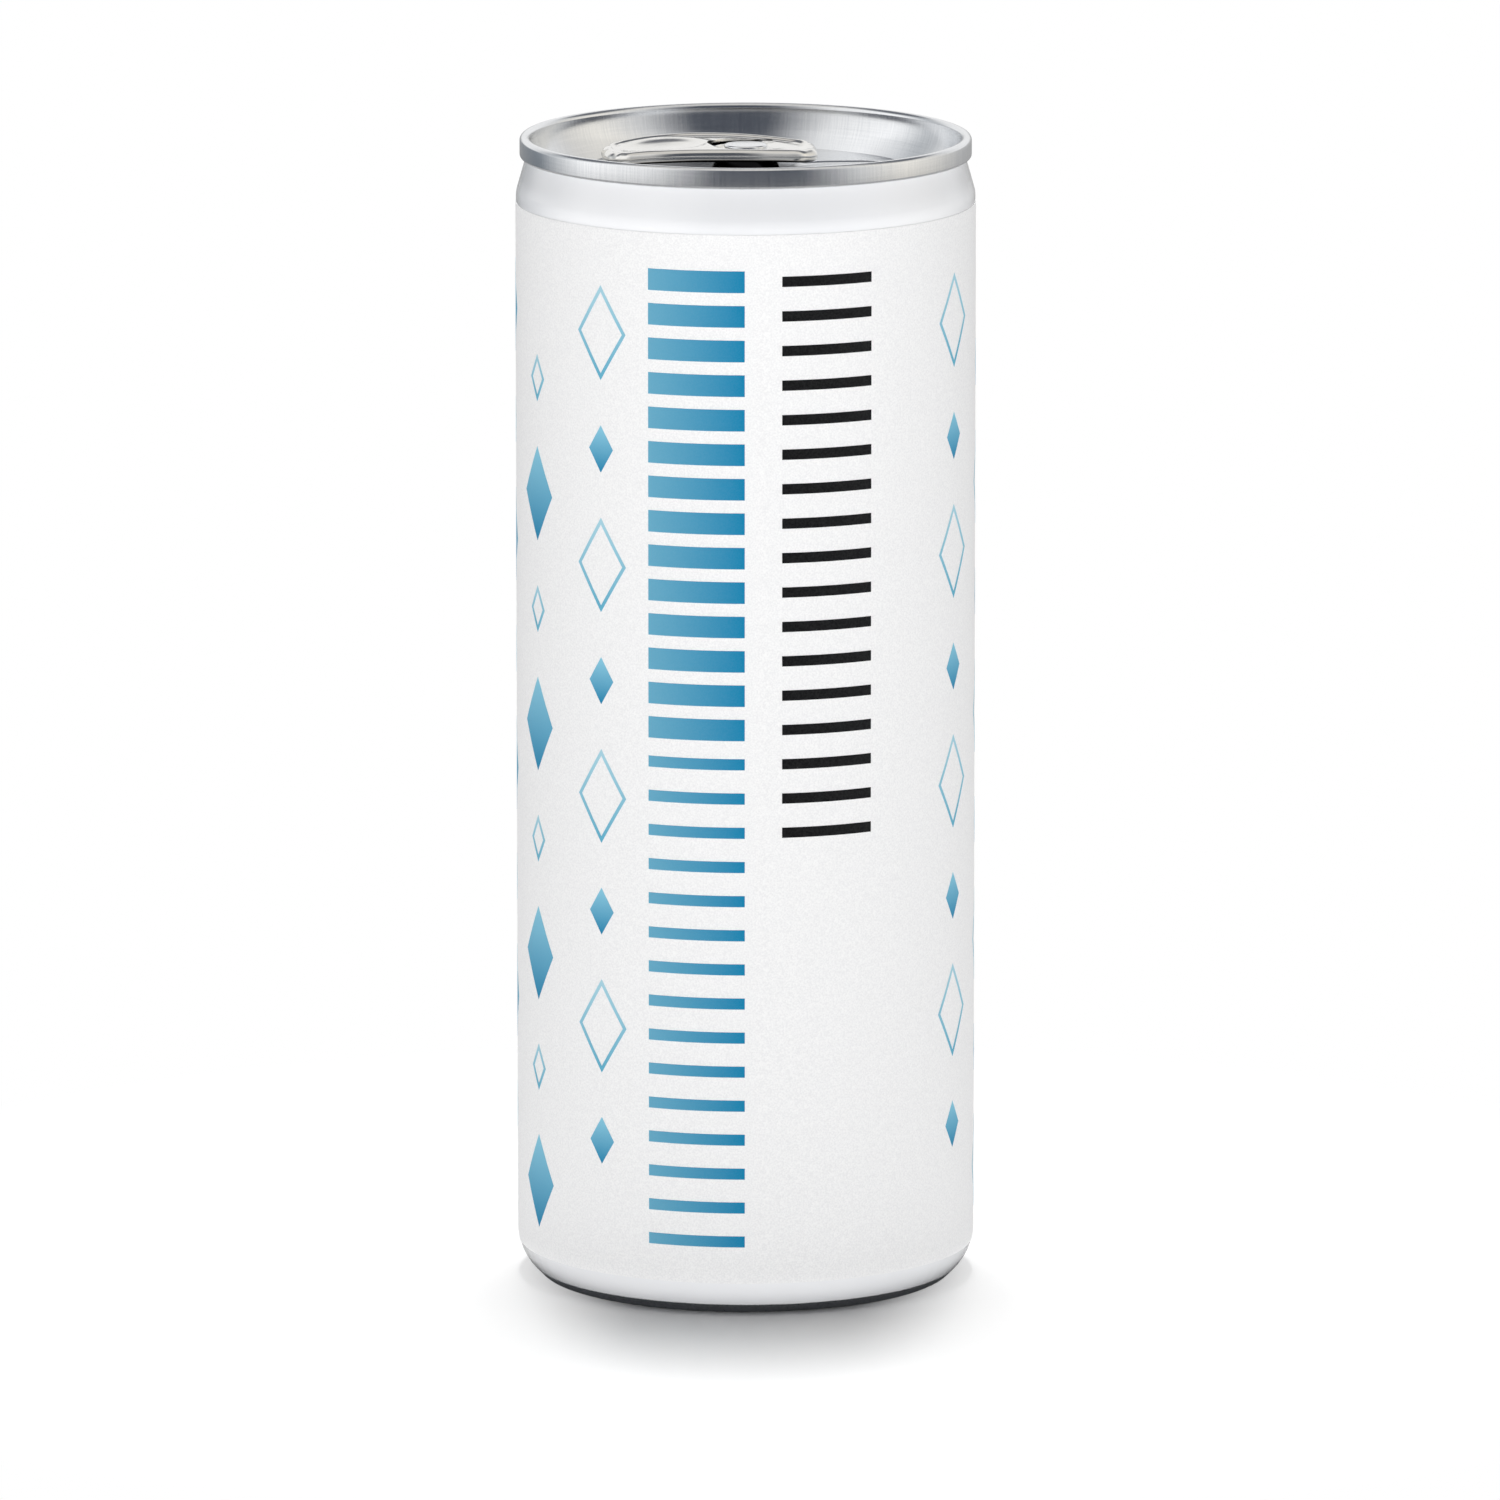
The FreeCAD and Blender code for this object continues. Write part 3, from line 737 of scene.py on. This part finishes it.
# The oval finger dip, and the lip round it at this many times its size.
DIP_PLACE, DIP_HALF_LENGTH, DIP_HALF_WIDTH, LIP_PLACE = -9.6, 4.4, 4.0, 1.2
# The level island round the rivet, and the width over which it meets the rest.
ISLAND_RADIUS, ISLAND_BLEND = 4.3, 0.9
# The oval along which the curl runs, and how far from the tab's middle its tight corners begin.
RIM_HALF_LENGTH, RIM_HALF_WIDTH, CORNER_START = 12.4, 7.4, 8.8
# The slot round the island: its outer and inner radius, and how far to the nose cut and tongue reach.
SLOT_OUTSIDE, SLOT_INSIDE, SLOT_REACH, TONGUE_REACH = 4.45, 3.6, 3.4, 9.0


def shape_tab(tab_piece, tab):
    """Presses the flat tab into its bow, with the finger dip, the level island round the rivet and the
    puckered corners."""
    centre = TAB_TOP - tab.curl_radius
    island = TAB_TOP - tab.island_drop
    for vertex in tab_piece.data.vertices:
        x, y, z = vertex.co
        at = x / MM
        # The strip bows up, highest behind the rivet, and falls faster to the finger end.
        lift = BOW_RISE - (HEEL_FALL if at < BOW_CREST else NOSE_FALL) * (at - BOW_CREST) ** 2
        height = centre + z + lift * MM
        # The finger dip behind the island.
        dip = math.hypot((at - DIP_PLACE) / DIP_HALF_LENGTH, y / MM / DIP_HALF_WIDTH)
        height -= tab.dip_depth * smooth(1.25 - dip)
        height += tab.dip_lip * smooth(1 - abs(dip - LIP_PLACE) / 0.35)
        # The level island that the rivet holds.
        hold = smooth((ISLAND_RADIUS - math.hypot(x, y) / MM) / ISLAND_BLEND)
        level = island + (z - tab.web_rise)
        if abs(z) < 0.5 * MM:
            height += (level - height) * hold
        # Pressing puckers the curl where it turns the tight corners.
        along = at - TAB_MIDDLE / MM
        rim = smooth((math.hypot(along / RIM_HALF_LENGTH, y / MM / RIM_HALF_WIDTH) - 0.86) / 0.1)
        corner = smooth((abs(along) - CORNER_START) / 2.0) * rim
        turn = math.atan2(y, along * MM)
        ripple = math.sin(38 * turn + 2.4 * math.sin(7 * turn)) + 0.6 * math.sin(23 * turn + 1.0)
        pucker = tab.pucker * corner * ripple
        out = Vector((x - TAB_MIDDLE, y, 0)).normalized()
        vertex.co = (x + out.x * pucker, y + out.y * pucker, height + 0.5 * pucker)


def slot_cutter():
    """The prism that cuts the slot round the island, open towards the nose."""
    halves = []
    for radius, reach in ((SLOT_OUTSIDE, SLOT_REACH), (SLOT_INSIDE, TONGUE_REACH)):
        angles = [math.radians(degrees) for degrees in range(90, 271, 6)]
        points = [(radius * math.cos(a), radius * math.sin(a)) for a in angles]
        points += [(reach, -radius), (reach, radius)]
        block = new_polygon([(x * MM, y * MM) for x, y in points])
        with editing(block, "FACE"):
            bpy.ops.transform.translate(value=(0, 0, TAB_TOP - 4 * MM))
            bpy.ops.mesh.extrude_region_move(TRANSFORM_OT_translate={"value": (0, 0, 6 * MM)})
            bpy.ops.mesh.select_all(action="SELECT")
            bpy.ops.mesh.normals_make_consistent(inside=False)
        halves.append(block)
    cut_with(*halves)
    return halves[0]


class CAN_OT_make_tab(bpy.types.Operator):
    """Models the stay-on tab, with its curled edge, web, finger dip and slotted island"""

    bl_idname = "can.make_tab"
    bl_label = "Make pull tab"

    def execute(self, context):
        tab = context.scene.can_tab
        halves = []
        for side in (1, -1):
            half = tab_outline(tab)
            curl_and_web(half, tab, side)
            halves.append(half)
        piece = join("stay_on_tab", halves)
        with editing(piece):
            bpy.ops.mesh.remove_doubles(threshold=0.002 * MM)
            bpy.ops.mesh.normals_make_consistent(inside=False)
        # Mask for the tab's painted shade: the faces that look down, and the lower faces of the curl that
        # look in under the tab.
        under = piece.data.attributes.new("under", "FLOAT", "POINT")
        for vertex, value in zip(piece.data.vertices, under.data):
            inwards = -vertex.normal.to_2d().dot(Vector((vertex.co.x - TAB_MIDDLE, vertex.co.y)).normalized())
            low = vertex.co.z < tab.web_rise - 0.1 * MM
            value.value = max(smooth((-0.5 - vertex.normal.z) / 0.3), smooth(inwards / 0.2) if low else 0.0)
        shape_tab(piece, tab)
        cut_with(piece, slot_cutter())
        bpy.ops.object.select_all(action="DESELECT")
        hole = {"vertices": 48, "radius": tab.hole_radius, "depth": 6 * MM}
        bpy.ops.mesh.primitive_cylinder_add(location=(0, 0, TAB_TOP), **hole)
        cut_with(piece, bpy.context.object)
        turn_about_rivet(piece, tab.turn)
        pick(piece)
        bpy.ops.object.shade_smooth_by_angle(angle=math.radians(40))
        put_material(piece, make_tab_metal(context.scene.can_finishes))
        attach(piece, "root")
        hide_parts("pull_tab")
        return {"FINISHED"}


# ---------------------------------------------------------------- print


def set_fade(piece, start, finish):
    """Writes how far each point is along the ink's fade, from the start point to the finish point."""
    line = Vector(finish) - Vector(start)
    fade = piece.data.attributes.new("fade", "FLOAT", "POINT")
    for vertex, value in zip(piece.data.vertices, fade.data):
        value.value = min(1.0, max(0.0, (vertex.co.to_2d() - Vector(start)).dot(line) / line.length_squared))


def wrap_print(name, flats, thick):
    """Joins flat print drawn in the XY plane, gives it the thickness of ink and wraps it round the label."""
    piece = join(name, flats)
    ends = [v.co.x for v in piece.data.vertices]
    low, high = min(ends), max(ends)
    radius = LABEL_RADIUS
    step = radius * math.radians(2)
    with editing(piece):
        for k in range(math.ceil(low / step), math.floor(high / step) + 1):
            bpy.ops.mesh.select_all(action="SELECT")
            bpy.ops.mesh.bisect(plane_co=(k * step, 0, 0), plane_no=(1, 0, 0))
        bpy.ops.mesh.select_all(action="SELECT")
        bpy.ops.mesh.extrude_region_move(TRANSFORM_OT_translate={"value": (0, 0, thick)})
        bpy.ops.mesh.select_all(action="SELECT")
        bpy.ops.mesh.normals_make_consistent(inside=False)
        # The sheet is stood up: its height becomes Z and its outer face looks along -Y.
        bpy.ops.transform.translate(value=(0, 0, -0.25 * thick))
    for vertex in piece.data.vertices:
        x, y, z = vertex.co
        vertex.co = (x, -z, y)
    bend = piece.modifiers.new("Wrap", "SIMPLE_DEFORM")
    bend.deform_method, bend.deform_axis = "BEND", "Z"
    bend.angle = (high - low) / radius
    pick(piece)
    bpy.ops.object.modifier_apply(modifier=bend.name)
    with editing(piece):
        bpy.ops.transform.translate(value=(0, -radius, 0))
    pick(piece)
    bpy.ops.object.shade_smooth_by_angle(angle=math.radians(30))
    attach(piece, "root")
    return piece


# Runs of bars: the blue column's heavy one above and light one below, and the black column's.
HEAVY_RUN = {"top": 121 * MM, "pitch": 4 * MM, "count": 14, "thick": 2.5 * MM}
LIGHT_RUN = {"top": 65 * MM, "pitch": 4 * MM, "count": 15, "thick": 1.3 * MM}
BLACK_RUN = {"top": 121 * MM, "pitch": 4 * MM, "count": 17, "thick": 1.2 * MM}


def draw_bars(run, left, width):
    """A column of level bars of one width, at an even pitch downwards from the top one."""
    flats = []
    for number in range(run["count"]):
        bpy.ops.object.select_all(action="DESELECT")
        if not flats:
            bpy.ops.mesh.primitive_plane_add(size=1.0)
            flat = bpy.context.object
        else:
            flat = flats[0].copy()
            flat.data = flats[0].data.copy()
            bpy.context.scene.collection.objects.link(flat)
        flat.scale = (width, run["thick"], 1.0)
        flat.location = (left + width / 2, run["top"] - number * run["pitch"], 0.0)
        flats.append(flat)
    return flats


def lozenge_places(size, solid):
    """Where the lozenges of one kind stand, as corners of each. They run round the can in upright files of
    even pitch, every second file half a step up, large and small in turn. Solid and outlined ones take
    turns up each file, and no lozenge touches the two columns of bars."""
    around = math.tau * (LABEL_RADIUS + size.ink_thick)
    columns_start = size.column_left - size.clear
    columns_end = size.black_left + size.black_width + size.clear
    pitch = around / size.files
    for file in range(size.files):
        middle = (file + 0.5) * pitch - around / 2
        for row in range(size.rows):
            large = (file + row) % 2 == 0
            if ((file + 2 * row) % 4 < 2) != solid:
                continue
            share = 1.0 if large else 0.5
            wide, tall = size.lozenge_wide * share / 2, size.lozenge_tall * share / 2
            if columns_start < middle + wide and middle - wide < columns_end:
                continue
            height = size.first_row + (row + (file % 2) / 2) * size.row_pitch
            left, right = (middle - wide, height), (middle + wide, height)
            foot, head = (middle, height - tall), (middle, height + tall)
            yield left, foot, right, head


def draw_lozenge(corners):
    """One flat lozenge with its fade running up it."""
    flat = new_polygon(corners)
    heights = [corner[1] for corner in corners]
    set_fade(flat, (0.0, min(heights)), (0.0, max(heights)))
    return flat


class CAN_OT_print_bars(bpy.types.Operator):
    """Prints the two upright columns of bars on the front of the label"""

    bl_idname = "can.print_bars"
    bl_label = "Print bar columns"

    def execute(self, context):
        size, finish = context.scene.can_print, context.scene.can_finishes
        left, width = size.column_left, size.column_width
        blue = join("blue_bars", draw_bars(HEAVY_RUN, left, width) + draw_bars(LIGHT_RUN, left, width))
        set_fade(blue, (left + width, 0.0), (left, 0.0))
        blue = wrap_print("blue_bars", [blue], size.ink_thick)
        put_material(blue, make_ink("blue_ink_under_matt_film", size.blue_dark, size.blue_light, finish))
        left, width = size.black_left, size.black_width
        black = join("black_bars", draw_bars(BLACK_RUN, left, width))
        set_fade(black, (left, 0.0), (left + width, 0.0))
        black = wrap_print("black_bars", [black], size.ink_thick)
        put_material(black, make_ink("black_ink_under_matt_film", size.black, srgb("141517"), finish))
        return {"FINISHED"}


class CAN_OT_print_lozenges(bpy.types.Operator):
    """Prints the blue lozenges, solid and in outline"""

    bl_idname = "can.print_lozenges"
    bl_label = "Print lozenges"

    def execute(self, context):
        size, finish = context.scene.can_print, context.scene.can_finishes
        solid = [draw_lozenge(corners) for corners in lozenge_places(size, True)]
        solid = wrap_print("solid_lozenges", solid, size.ink_thick)
        ink = make_ink("blue_lozenge_ink_under_matt_film", size.blue_dark, size.lozenge_light, finish)
        put_material(solid, ink)
        outlined = [draw_lozenge(corners) for corners in lozenge_places(size, False)]
        outlined = join("outline_lozenges", outlined)
        with editing(outlined, "FACE"):
            bpy.ops.mesh.inset(thickness=size.outline, use_individual=True)
            bpy.ops.mesh.delete(type="FACE")
        outlined = wrap_print("outline_lozenges", [outlined], size.ink_thick)
        ink = make_ink("pale_blue_line_ink_under_matt_film", size.line_dark, size.line_light, finish)
        put_material(outlined, ink)
        return {"FINISHED"}


# ---------------------------------------------------------------- studio


# What polished metal mirrors round the room: the turn from the front in degrees, left negative, and the tone.
# A soft box stands on the left with a dark gap behind it, and a long pale flat on the right.
# The dark camera side is in front.
MIRRORED = (
    (-180, "989898"), (-130, "707880"), (-90, "F8F8F8"), (-50, "E0E0E0"), (-15, "484C54"), (30, "484C54"),
    (60, "C8C8C8"), (90, "E8E4DC"), (140, "B0B0B0"),
)


# Bands of that room by direction: where each starts and where it is full, backwards (Y) and up (Z).
BACKDROP_BACK, BACKDROP_UP = (0.4, 0.8), (0.02, 0.1)
CEILING_BACK, CEILING_UP, CEILING_TONE = (-0.1, 0.3), (0.52, 0.62), "6A6D74"
OVERHEAD_UP, OVERHEAD_TONE = (0.8, 0.9), "DCDAD7"
# Towards the table the room darkens, and just above it is brighter.
TABLE_UP, TABLE_GAIN = (-0.4, -0.1), (0.52, 1.25)

# How far from the front, in degrees, the soft light on matt surfaces is full, falls to the sides' and is dim.
SOFT_FULL, SOFT_SIDE, SOFT_DIM = 50, 84, 112
# Between these heights of direction it gives way to the ceiling.
SOFT_TOP = (0.08, 0.38)


def ramp_round(tree, turn, stops):
    """A colour ramp round the room from the turn in degrees to the tone, closed behind the can."""
    share = span(tree, turn, (-math.pi, math.pi))
    ramp = add_node(tree, "ShaderNodeValToRGB", None, Fac=share)
    marks = ramp.color_ramp.elements
    for degrees, tone in stops:
        place = (degrees + 180) / 360
        mark = marks[0] if degrees == stops[0][0] else marks.new(place)
        mark.position, mark.color = place, tone
    marks[-1].position, marks[-1].color = 1.0, stops[0][1]
    return ramp.outputs["Color"]


def light_room(studio):
    """A plain white room: white to the camera, soft from the front on matt surfaces, toned as MIRRORED in
    metal."""
    world = bpy.data.worlds.new("soft_studio_room")
    bpy.context.scene.world = world
    world.use_nodes = True
    tree = world.node_tree
    tree.nodes.clear()
    way = add_node(tree, "ShaderNodeTexCoord").outputs["Generated"]
    split = add_node(tree, "ShaderNodeSeparateXYZ", Vector=way).outputs
    front = maths(tree, "MULTIPLY", split["Y"], -1.0)
    turn = maths(tree, "ARCTAN2", split["X"], front)
    mirrored = ramp_round(tree, turn, [(d, srgb(c)) for d, c in MIRRORED])
    low = span(tree, split["Z"], TABLE_UP, TABLE_GAIN)
    grey = add_node(tree, "ShaderNodeCombineColor", None, _0=low, _1=low, _2=low).outputs[0]
    multiply = {"data_type": "RGBA", "blend_type": "MULTIPLY", 0: 1.0}
    mirrored = add_node(tree, "ShaderNodeMix", multiply, _6=mirrored, _7=grey).outputs[2]
    # Behind the can a low white backdrop stands under a dark ceiling.
    behind = span(tree, split["Y"], BACKDROP_BACK)
    low = span(tree, split["Z"], BACKDROP_UP)
    backdrop = maths(tree, "MULTIPLY", behind, low)
    mirrored = blend_colour(tree, backdrop, mirrored, (0.95, 0.95, 0.95, 1))
    rear = span(tree, split["Y"], CEILING_BACK)
    high = span(tree, split["Z"], CEILING_UP)
    ceiling = maths(tree, "MULTIPLY", rear, high)
    mirrored = blend_colour(tree, ceiling, mirrored, srgb(CEILING_TONE))
    top = span(tree, split["Z"], OVERHEAD_UP)
    mirrored = blend_colour(tree, top, mirrored, srgb(OVERHEAD_TONE))
    lit, side, dim = [[v] * 3 + [1] for v in (studio.front_light, studio.side_light, studio.back_light)]
    stops = [(-180, dim), (-SOFT_DIM, dim), (-SOFT_SIDE, side), (-SOFT_FULL, lit)]
    stops += [(SOFT_FULL, lit), (SOFT_SIDE, side), (SOFT_DIM, dim)]
    soft = ramp_round(tree, turn, stops)
    above = span(tree, split["Z"], SOFT_TOP)
    soft = blend_colour(tree, above, soft, [studio.ceiling_light] * 3 + [1])
    path = add_node(tree, "ShaderNodeLightPath").outputs
    seen = blend_colour(tree, path["Is Glossy Ray"], soft, mirrored)
    clear = maths(tree, "MAXIMUM", path["Is Camera Ray"], path["Is Transmission Ray"])
    seen = blend_colour(tree, clear, seen, (1, 1, 1, 1))
    light = add_node(tree, "ShaderNodeBackground", None, Color=seen)
    add_node(tree, "ShaderNodeOutputWorld", None, Surface=light.outputs[0])


def lay_floor(studio):
    """A matt white table top. The camera sees it pure white with the can's shadow on it. By paint and glow, a
    share of that shadow is washed out beside the can and all of it far away. To other rays the table top is
    grey, with a glow beyond the can that lights it from below, which what metal mirrors is spared."""
    bpy.ops.object.select_all(action="DESELECT")
    disc = {"vertices": 128, "radius": studio.floor_radius, "fill_type": "NGON"}
    bpy.ops.mesh.primitive_circle_add(location=(0, 0, FLOOR_Z - 0.02 * MM), **disc)
    floor = bpy.context.object
    floor.name = "studio_floor"
    material, tree, shader = new_material("matt_white_table_top")
    path = add_node(tree, "ShaderNodeLightPath").outputs
    clear = maths(tree, "MAXIMUM", path["Is Camera Ray"], path["Is Transmission Ray"])
    place, _, reach, _ = around_axis(tree)
    aside = maths(tree, "ABSOLUTE", add_node(tree, "ShaderNodeSeparateXYZ", Vector=place).outputs["X"])
    wash = {"From Min": studio.wash_near, "From Max": studio.wash_far, "To Max": studio.wash}
    wash["interpolation_type"] = "SMOOTHSTEP"
    sides = add_node(tree, "ShaderNodeMapRange", wash, Value=aside).outputs[0]
    far = span(tree, reach, (studio.fade_near, studio.fade_far))
    sides = maths(tree, "MAXIMUM", sides, far)
    glow = span(tree, reach, (studio.glow_near, studio.glow_far), (0.0, studio.table_glow))
    lit = blend_number(tree, clear, glow, sides)
    paint = maths(tree, "SUBTRACT", 1.0, sides)
    dull = span(tree, path["Is Glossy Ray"], (0.0, 1.0), (studio.table_grey, studio.mirrored_grey))
    tone = blend_number(tree, clear, dull, paint)
    grey = add_node(tree, "ShaderNodeCombineColor", None, _0=tone, _1=tone, _2=tone).outputs[0]
    tree.links.new(grey, shader.inputs["Base Color"])
    matt = maths(tree, "SUBTRACT", 1.0, path["Is Glossy Ray"])
    tree.links.new(maths(tree, "MULTIPLY", lit, matt), shader.inputs["Emission Strength"])
    shader.inputs["Emission Color"].default_value = (1, 1, 1, 1)
    shader.inputs["Roughness"].default_value = 1.0
    shader.inputs["Specular IOR Level"].default_value = 0.0
    put_material(floor, material)
    apply_all(floor)


class CAN_OT_make_studio(bpy.types.Operator):
    """Lays the floor, lights the room and places the camera"""

    bl_idname = "can.make_studio"
    bl_label = "Make studio"

    def execute(self, context):
        studio = context.scene.can_studio
        lay_floor(studio)
        light_room(studio)
        bpy.ops.object.light_add(type="AREA", location=(0, studio.lamp_back, studio.lamp_height))
        lamp = bpy.context.object
        lamp.name = "soft_strip_overhead"
        lamp.data.shape, lamp.data.energy = "RECTANGLE", studio.top_power
        lamp.data.size, lamp.data.size_y = studio.lamp_width, studio.lamp_length
        lamp.visible_glossy = False
        bpy.ops.object.camera_add(
            location=(studio.sideways, -studio.distance, studio.height + FLOOR_Z),
            rotation=(math.pi / 2 - studio.pitch, 0, 0),
        )
        camera = bpy.context.object
        camera.name = "studio_camera"
        camera.data.sensor_width, camera.data.lens = 36.0, studio.lens
        context.scene.camera = camera
        context.scene.view_settings.view_transform = "Standard"
        return {"FINISHED"}


# ---------------------------------------------------------------- panel and run


STEPS = (
    CAN_OT_make_studio,
    CAN_OT_finish_nodes,
    CAN_OT_make_end,
    CAN_OT_make_tab,
    CAN_OT_print_bars,
    CAN_OT_print_lozenges,
)
GROUPS = {
    "can_end": EndSizes,
    "can_tab": TabSizes,
    "can_print": PrintSizes,
    "can_finishes": Finishes,
    "can_studio": Studio,
}


class CAN_PT_panel(bpy.types.Panel):
    """The can's settings and the steps that make it"""

    bl_label = "Drinks can"
    bl_space_type = "VIEW_3D"
    bl_region_type = "UI"
    bl_category = "Drinks can"

    def draw(self, context):
        for name, group in GROUPS.items():
            box = self.layout.box()
            box.label(text=group.__doc__)
            for setting in group.__annotations__:
                box.prop(getattr(context.scene, name), setting)
        for step in STEPS:
            self.layout.operator(step.bl_idname)


def register():
    for group in (*GROUPS.values(), *STEPS, CAN_PT_panel):
        bpy.utils.register_class(group)
    for name, group in GROUPS.items():
        setattr(bpy.types.Scene, name, PointerProperty(type=group))


def unregister():
    for name in GROUPS:
        delattr(bpy.types.Scene, name)
    for group in (CAN_PT_panel, *reversed(STEPS), *reversed(GROUPS.values())):
        bpy.utils.unregister_class(group)


def main():
    """Makes the studio and the can."""
    register()
    for step in STEPS:
        area, name = step.bl_idname.split(".")
        getattr(getattr(bpy.ops, area), name)()


if __name__ == "__main__":
    main()
